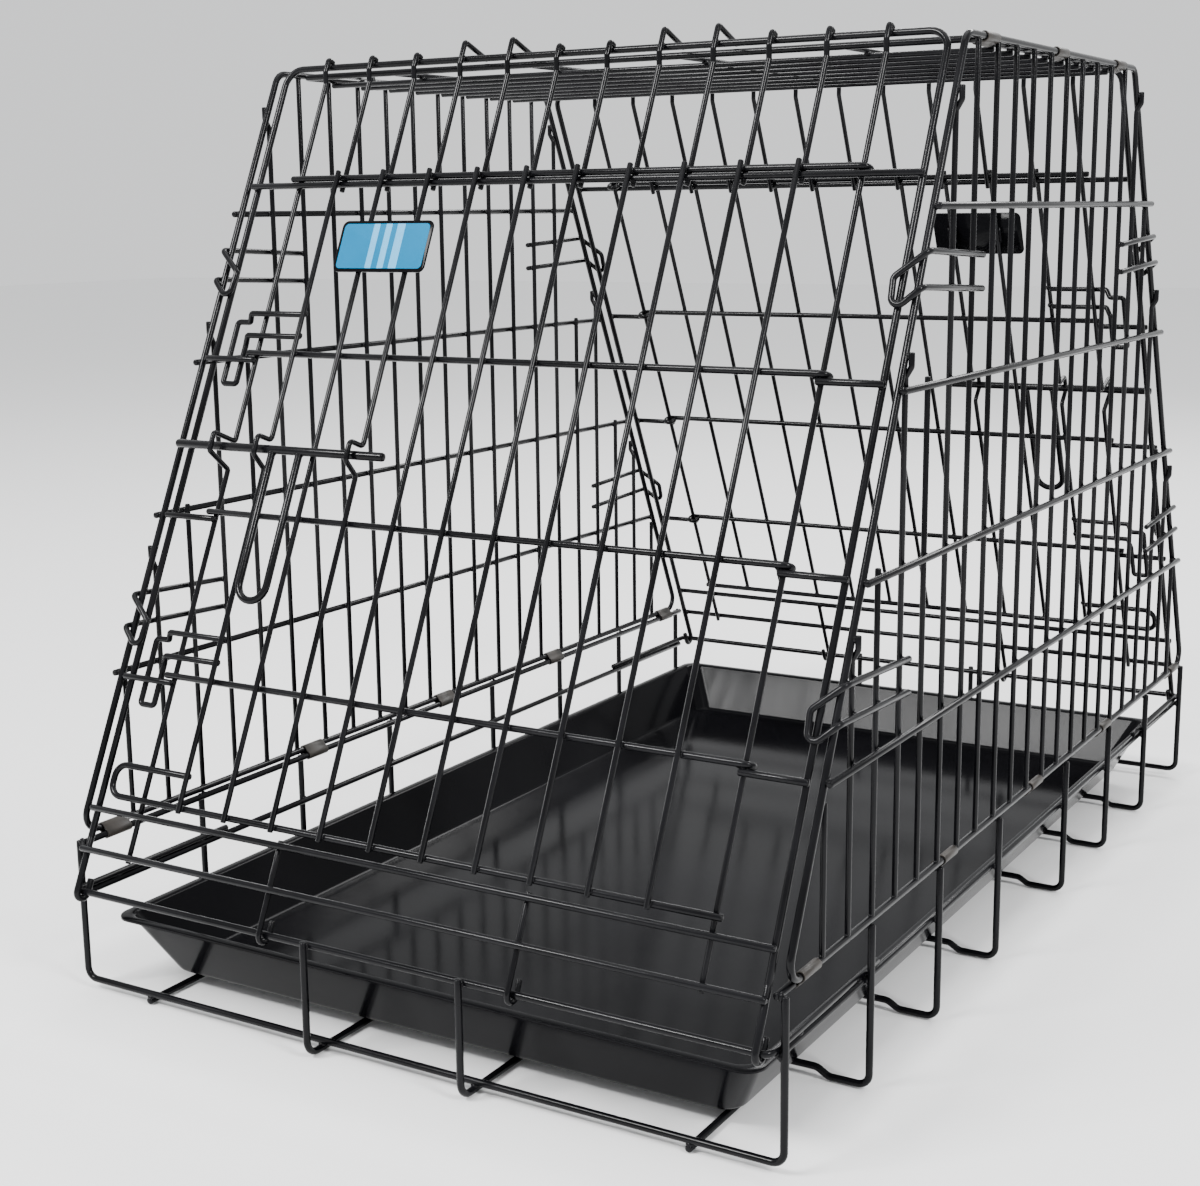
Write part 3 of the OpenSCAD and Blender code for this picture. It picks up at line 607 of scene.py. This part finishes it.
# Door bars: ten uprights in front of the door's rails.
# The first and third are bowed out like the jamb, and carry the bolt.
SEAT = RAIL_D + GAP + 0.1
RAIL_N = BAR_N + (RAIL_D + GRID_D) / 2 + GAP
DOOR_N = RAIL_N + (RAIL_D + GRID_D) / 2 - SINK
SILL_S = 71.5
DOOR_RAILS = [STUB_S + k * STUB_PITCH + SEAT for k in range(3)] + [HEADER_S + SEAT]
for end, rear in (("front", False), ("rear", True)):
    uprights = bmesh.new()
    for i, x in enumerate(DOOR_BARS):
        keeper = bow(x, DOOR_N) if i in (0, 2) else []
        path = [(x, SILL_S - 4, DOOR_N)] + keeper + [(x, HEADER_S + SEAT + 4, DOOR_N)]
        slope_wire(uprights, rear, path, GRID_D, 3.5)
        for s in DOOR_RAILS + [SILL_S]:
            slope_weld(uprights, rear, x, s, (DOOR_N + RAIL_N) / 2)
    wire_piece(end + "_door_bar_wires", uprights, end + "_door", end + "_door_bars")


# Door rails: four cross wires, each curled three quarters round the right jamb as a hinge,
# and a fifth at the foot that is cut straight on the right and folded back on the left.
for end, rear in (("front", False), ("rear", True)):
    rails = bmesh.new()
    run = RAIL_N - BAR_N
    for s in DOOR_RAILS:
        curl = [
            (-JAMB_X - 5, s, RAIL_N), (JAMB_X + run, s, RAIL_N), (JAMB_X + run, s, BAR_N - run),
            (JAMB_X - run, s, BAR_N - run), (JAMB_X - run, s, BAR_N),
        ]
        slope_wire(rails, rear, curl, RAIL_D, run - 0.05)
    fold, fold_x = 23, -EDGE_X + 12.5
    slope_wire(
        rails, rear,
        [
            (JAMB_X + 7, SILL_S, RAIL_N), (fold_x, SILL_S, RAIL_N),
            (fold_x, SILL_S + fold, RAIL_N), (DOOR_BARS[0] - 3, SILL_S + fold, RAIL_N),
        ],
        RAIL_D, fold / 2 - 2,
    )
    slope_weld(rails, rear, DOOR_BARS[0], SILL_S + fold, (DOOR_N + RAIL_N) / 2)
    wire_piece(end + "_door_rail_wires", rails, end + "_door", end + "_door_rails")


# Door hooks: two doubled hooks of 4.4 mm wire on the door's free edge.
# Each is one wire, welded to the first upright, stepped in and turned down behind a stub.
HOOK_N = WIRE_N - RAIL_D / 2 - HOOK_D / 2 - GAP
LEG_N = DOOR_N - (GRID_D + HOOK_D) / 2 + SINK
for end, rear in (("front", False), ("rear", True)):
    hooks = bmesh.new()
    for k in (0, 2):
        s = STUB_S + k * STUB_PITCH
        weld_x, step_x, far_x, near_x = DOOR_BARS[0] - 2, -JAMB_X - 11, -JAMB_X - 27, -JAMB_X - 14
        high, low = s + 36.5, s + 19
        slope_wire(
            hooks, rear,
            [
                (weld_x, high, LEG_N), (step_x, high, LEG_N), (step_x - 4, high - 5, HOOK_N),
                (far_x, high - 5, HOOK_N), (far_x, s - 18, HOOK_N), (near_x, s - 18, HOOK_N),
                (near_x, low - 6, HOOK_N), (step_x + 1.5, low, LEG_N), (weld_x, low, LEG_N),
            ],
            HOOK_D, 2.6,
        )
        for at in (high, low):
            slope_weld(hooks, rear, DOOR_BARS[0], at, (DOOR_N + LEG_N) / 2, (2.6, 2.8, 1.9))
    wire_piece(end + "_door_hook_wires", hooks, end + "_door", end + "_door_hooks")


# Label plates: a moulded black backing with a printed face, snapped on two door bars.
# The face is plain blue with three paler upright bands; nothing is written on it.
PLATE_X, PLATE_S, PLATE_N = -3 * BAR_PITCH - 2, HEADER_S - 53, DOOR_N + GRID_D / 2 + 0.1


def printed(name, shade, lighter):
    return coated(
        name, shade, lighter,
        {"Peel Scale": 1200, "Peel Height": 0.05, "Patch Scale": 40,
         "Gloss Low": 0.5, "Gloss High": 0.6},
        specular=0.03,
    )


blue_print = printed("blue_print", (0.0, 0.14, 0.29), (0.001, 0.15, 0.31))
pale_print = printed("pale_blue_print", (0.1, 0.38, 0.64), (0.12, 0.41, 0.68))


def plate_slab(piece_bm, rear, x, s, n, w, h, thick, corner, finish):
    slab = bmesh.new()
    bmesh.ops.create_grid(slab, x_segments=1, y_segments=1, size=0.5)
    bmesh.ops.scale(slab, vec=(w * MM, h * MM, 1), verts=slab.verts[:])
    bmesh.ops.bevel(
        slab, geom=slab.verts[:], offset=corner * MM, segments=6, profile=0.5,
        affect="VERTICES", material=-1,
    )
    lifted = bmesh.ops.extrude_face_region(slab, geom=slab.faces[:])["geom"]
    bmesh.ops.translate(slab, vec=(0, 0, thick * MM), verts=verts_in(lifted))
    bmesh.ops.recalc_face_normals(slab, faces=slab.faces[:])
    brim = [e for e in slab.edges if all(v.co.z > 0.5 * thick * MM for v in e.verts)]
    round_edges(slab, brim, 0.3 * thick * MM)
    for f in slab.faces:
        f.material_index = finish
    tilt = Matrix.Rotation(pi / 2 - LEAN, 3, "X")
    if rear:
        tilt = Matrix.Rotation(pi, 3, "Z") @ tilt
    bmesh.ops.rotate(slab, cent=(0, 0, 0), matrix=tilt, verts=slab.verts[:])
    bmesh.ops.translate(slab, vec=Vector(on_slope(rear, x, s, n)) * MM, verts=slab.verts[:])
    add_to(piece_bm, slab)


for end, rear in (("front", False), ("rear", True)):
    plate = bmesh.new()
    plate_slab(plate, rear, PLATE_X, PLATE_S, PLATE_N, 82, 40, 1.4, 5, 0)
    plate_slab(plate, rear, PLATE_X, PLATE_S, PLATE_N + 1.3, 77, 35, 0.25, 3.4, 1)
    for x, w in ((-9, 5.5), (2, 5.5), (13, 7)):
        plate_slab(plate, rear, PLATE_X + x, PLATE_S, PLATE_N + 1.45, w, 34.6, 0.15, 0.6, 2)
    for x in DOOR_BARS[1:3]:
        for side in (-1, 1):
            rib_x = x + side * (GRID_D / 2 + 0.95)
            plate_slab(plate, rear, rib_x, PLATE_S, PLATE_N - GRID_D, 1.5, 14, GRID_D + 0.4, 0.3, 0)
    make_piece(
        end + "_plate_with_face", plate, end + "_door", [tray_plastic, blue_print, pale_print],
        [end + "_label_plate"],
    )


# Slide bolts: a straight rod with a long U handle welded under it.
# The rod lies in the three keepers and shoots past the jamb; the handle hangs down the door.
BOLT_N = (DOOR_N + BOW_N) / 2 - 0.4
BOLT_D, BOLT_L, HANDLE_D, HANDLE_L = 6.5, 192, 5.5, 112
for end, rear in (("front", False), ("rear", True)):
    bolt = bmesh.new()
    left_end, handle_x, handle_w = -JAMB_X - 40, -JAMB_X + 52, 25
    rod = [(left_end, BOLT_S, BOLT_N), (left_end + BOLT_L, BOLT_S, BOLT_N)]
    slope_wire(bolt, rear, rod, BOLT_D, sides=20)
    slope_wire(
        bolt, rear,
        [
            (handle_x, BOLT_S, BOLT_N), (handle_x, BOLT_S - HANDLE_L, BOLT_N),
            (handle_x + handle_w, BOLT_S - HANDLE_L, BOLT_N), (handle_x + handle_w, BOLT_S, BOLT_N),
        ],
        HANDLE_D, handle_w / 2 - 0.3, 20,
    )
    for x in (handle_x, handle_x + handle_w):
        slope_weld(bolt, rear, x, BOLT_S - 2.6, BOLT_N, (3.7, 1.8, 3.5))
    wire_piece(end + "_bolt_with_handle", bolt, end + "_slide_bolt", end + "_bolt")


# Side frames: one closed loop of frame wire round each side, wide at the foot and
# narrow at the top, with its bottom run turning in the hinge sleeves.
RAIL_X = SIDE_X + (FRAME_D + RAIL_D) / 2 - SINK
BAR_X = RAIL_X - (RAIL_D + GRID_D) / 2 + SINK
OUT_X = SIDE_X + (FRAME_D + GRID_D) / 2 - SINK


def edge_y(z):
    """How far from the middle the sloping edge is at height z."""
    s = (z - RAIL_Z - FRAME_N * sin(LEAN)) / cos(LEAN)
    return HINGE_Y - s * sin(LEAN) + FRAME_N * cos(LEAN)


def edge_z(y):
    return RAIL_Z + (HINGE_Y + FRAME_N / cos(LEAN) - abs(y)) / tan(LEAN)


def side_wire(piece_bm, turn, points, d, r=3, closed=False, sides=12):
    bend_wire(piece_bm, [(turn * x, turn * y, z) for x, y, z in points], d, r, closed, sides)


for side, turn in (("right", 1), ("left", -1)):
    loop = bmesh.new()
    foot, head = edge_y(SIDE_LOW_Z), edge_y(CRATE_H)
    outline = [(foot, SIDE_LOW_Z), (head, CRATE_H), (-head, CRATE_H), (-foot, SIDE_LOW_Z)]
    side_wire(loop, turn, [(SIDE_X, y, z) for y, z in outline], FRAME_D, 12, True, FRAME_SIDES)
    wire_piece(side + "_side_loop", loop, side + "_side", side + "_frame")


# Side bars: twenty-two uprights to a side, butted on the bottom wire.
# The middle ones reach the top wire. Under the slopes every other one is stepped out
# over the sloping wire, and the ones between are cut off just above a rail.
SIDE_RAILS = [228 + k * 110.7 for k in range(4)]
SIDE_SHIFTS = (("right", 1, 3.5), ("left", -1, 0))
FLAT_Y = edge_y(CRATE_H) - 12
BUTT = FRAME_D / 2 - SINK


def bar_places(shift):
    return [(k + 0.5) * SIDE_PITCH - shift for k in range(-11, 11)]


def bar_kind(y):
    """Where the straight part of the upright at y ends, and whether it steps out there."""
    top, beyond = edge_z(y), (abs(y) - FLAT_Y) // SIDE_PITCH
    if beyond < 0:
        return CRATE_H - BUTT, False
    if beyond % 2 == 0:
        return top - 13, True
    return min(top - 9.9, max([z + 5 for z in SIDE_RAILS if z < top], default=top)), False


for side, turn, shift in SIDE_SHIFTS:
    bars = bmesh.new()
    for y in bar_places(shift):
        end, stepped = bar_kind(y)
        path, top = [(BAR_X, y, SIDE_LOW_Z + BUTT), (BAR_X, y, end)], edge_z(y)
        if stepped:
            path += [(OUT_X, y, top - 6.5), (OUT_X, y, top + 2.5)]
            spot_weld(bars, (turn * (SIDE_X + 2.2), turn * y, top), (1.6, 2.5, 2.5))
        elif end > CRATE_H - 10:
            spot_weld(bars, (turn * (SIDE_X + 0.3), turn * y, CRATE_H - 2.4), (2.2, 2.8, 1.3))
        side_wire(bars, turn, path, GRID_D, BAR_BEND)
        spot_weld(bars, (turn * (SIDE_X + 0.3), turn * y, SIDE_LOW_Z + 2.4), (2.2, 2.8, 1.3))
        for z in SIDE_RAILS:
            if z < end:
                spot_weld(bars, (turn * (BAR_X + RAIL_X) / 2, turn * y, z), (1.7, 2.5, 2.5))
    wire_piece(side + "_bar_wires", bars, side + "_side", side + "_bars")


# Side rails: four level wires on the outside of each side panel.
# They run a few millimetres past the sloping edge and are welded to it.
for side, turn in (("right", 1), ("left", -1)):
    levels = bmesh.new()
    for z in SIDE_RAILS:
        reach = edge_y(z) + 4
        side_wire(levels, turn, [(RAIL_X, -reach, z), (RAIL_X, reach, z)], RAIL_D)
        for y in (-1, 1):
            spot_weld(levels, (turn * (SIDE_X + 2.4), y * edge_y(z), z), (1.7, 2.8, 2.7))
    wire_piece(side + "_rail_wires", levels, side + "_side", side + "_rails")


# Corner clips: one bent wire each, two at every upright corner.
# The two legs are welded outside the side panel; the nose turns in and hangs in front of
# the end panel's edge, and is sprung aside to let the panel go.
CLIP_N = FRAME_N + FRAME_D / 2 + HOOK_D / 2 + GAP + 0.1
CLIP_X = BAR_X + (GRID_D + HOOK_D) / 2 - SINK
CLIP_HEIGHTS, CLIP_GAP, CLIP_L, CLIP_REACH, CLIP_DROOP = (283, 533), 22, 94, 20, 5


def clip_nose(x, z):
    s = (z - RAIL_Z - CLIP_N * sin(LEAN)) / cos(LEAN)
    return on_slope(False, x, s, CLIP_N)


for side, turn, shift in SIDE_SHIFTS:
    clips = bmesh.new()
    for z in CLIP_HEIGHTS:
        low, tail = z - CLIP_GAP, -edge_y(z) + CLIP_L
        nose = [
            clip_nose(CLIP_X, z), clip_nose(CLIP_X - CLIP_REACH, z - 16),
            clip_nose(CLIP_X - CLIP_REACH + 2, z - 38), clip_nose(CLIP_X, low),
        ]
        path = [(CLIP_X, tail, z - CLIP_DROOP)] + nose + [(CLIP_X, tail, low - CLIP_DROOP)]
        for way in (1, -1):
            side_wire(clips, turn, [(x, way * y, h) for x, y, h in path], HOOK_D, 5)
            for bar_y in bar_places(shift):
                y = way * bar_y
                if -edge_y(z) + 6 < y < tail and bar_kind(y * way)[0] > z:
                    for at in (z, low):
                        drop = CLIP_DROOP * (y + edge_y(z)) / (tail + edge_y(z))
                        weld_at = (turn * (BAR_X + CLIP_X) / 2, turn * way * y, at - drop)
                        spot_weld(clips, weld_at, (1.7, 2.5, 2.5))
    wire_piece(side + "_corner_clips", clips, side + "_side", side + "_clips")


# Top hinge sleeves: three more folded strips, round the right side's top wire
# and the wire along the top panel's hinge edge.
TOP_HINGE_X = SIDE_X - FRAME_D - 0.5
TOP_LEFT_X = -(SIDE_X - 6)
top_sleeves = bmesh.new()
for y in (-TOP_HALF_L + 20, 0, TOP_HALF_L - 20):
    fold_sleeve(top_sleeves, (TOP_HINGE_X, TOP_Z), (SIDE_X, CRATE_H), y)
make_piece(
    "top_hinge_sleeve_strips", top_sleeves, "right_side", [brown_coat],
    ["top_hinge_sleeves"],
)


# Top panel: a loop of frame wire with eight cross wires welded under it.
# Four shorter wires lie on the cross wires, butted between the loop's end runs.
TOP_WIRE_Z = TOP_Z - (FRAME_D + GRID_D) / 2 + SINK
TOP_LONG_Z = TOP_WIRE_Z + GRID_D - SINK
ROOF_LONG_X = (-189, -63, 63, 189)
roof_loop = bmesh.new()
corners = [
    (TOP_HINGE_X, TOP_HALF_L, TOP_Z), (TOP_LEFT_X, TOP_HALF_L, TOP_Z),
    (TOP_LEFT_X, -TOP_HALF_L, TOP_Z), (TOP_HINGE_X, -TOP_HALF_L, TOP_Z),
]
bend_wire(roof_loop, corners, FRAME_D, 7, True, FRAME_SIDES)
wire_piece("roof_loop", roof_loop, "top_panel", "top_frame")

roof_wires = bmesh.new()
roof_runs = bmesh.new()
for k in (-3.5, -2.5, -1.5, -0.5, 0.5, 1.5, 2.5, 3.5):
    y = k * SIDE_PITCH
    bend_wire(roof_wires, [(TOP_LEFT_X - 2, y, TOP_WIRE_Z), (TOP_HINGE_X + 2, y, TOP_WIRE_Z)], GRID_D)
    for x in (TOP_LEFT_X, TOP_HINGE_X):
        spot_weld(roof_wires, (x, y, TOP_Z - 2.3), (2.8, 2.6, 1.7))
    for x in ROOF_LONG_X:
        spot_weld(roof_runs, (x, y, (TOP_WIRE_Z + TOP_LONG_Z) / 2))
for x in ROOF_LONG_X:
    bend_wire(roof_runs, [(x, -TOP_HALF_L + BUTT, TOP_LONG_Z), (x, TOP_HALF_L - BUTT, TOP_LONG_Z)], GRID_D)
wire_piece("roof_cross_wire_set", roof_wires, "top_panel", "top_cross_wires")
wire_piece("roof_long_wire_set", roof_runs, "top_panel", "top_long_wires")


# Top catches: two hooked wires beside cross wires of the top panel.
# They rest over the left side's top wire and keep the roof's free edge up and the side in.
catches = bmesh.new()
over_z = CRATE_H + FRAME_D / 2 + GRID_D / 2 + GAP
out_x = -SIDE_X - FRAME_D / 2 - GRID_D / 2 - GAP
for way in (-1, 1):
    y = way * 2.5 * SIDE_PITCH + GRID_D - 0.04
    bend_wire(
        catches,
        [
            (TOP_LEFT_X + 30, y, TOP_WIRE_Z), (TOP_LEFT_X + 9, y, TOP_WIRE_Z),
            (TOP_LEFT_X + 6, y, over_z), (out_x, y, over_z), (out_x, y, CRATE_H - 5),
        ],
        GRID_D, BAR_BEND,
    )
wire_piece("roof_catches", catches, "top_panel", "top_catches")
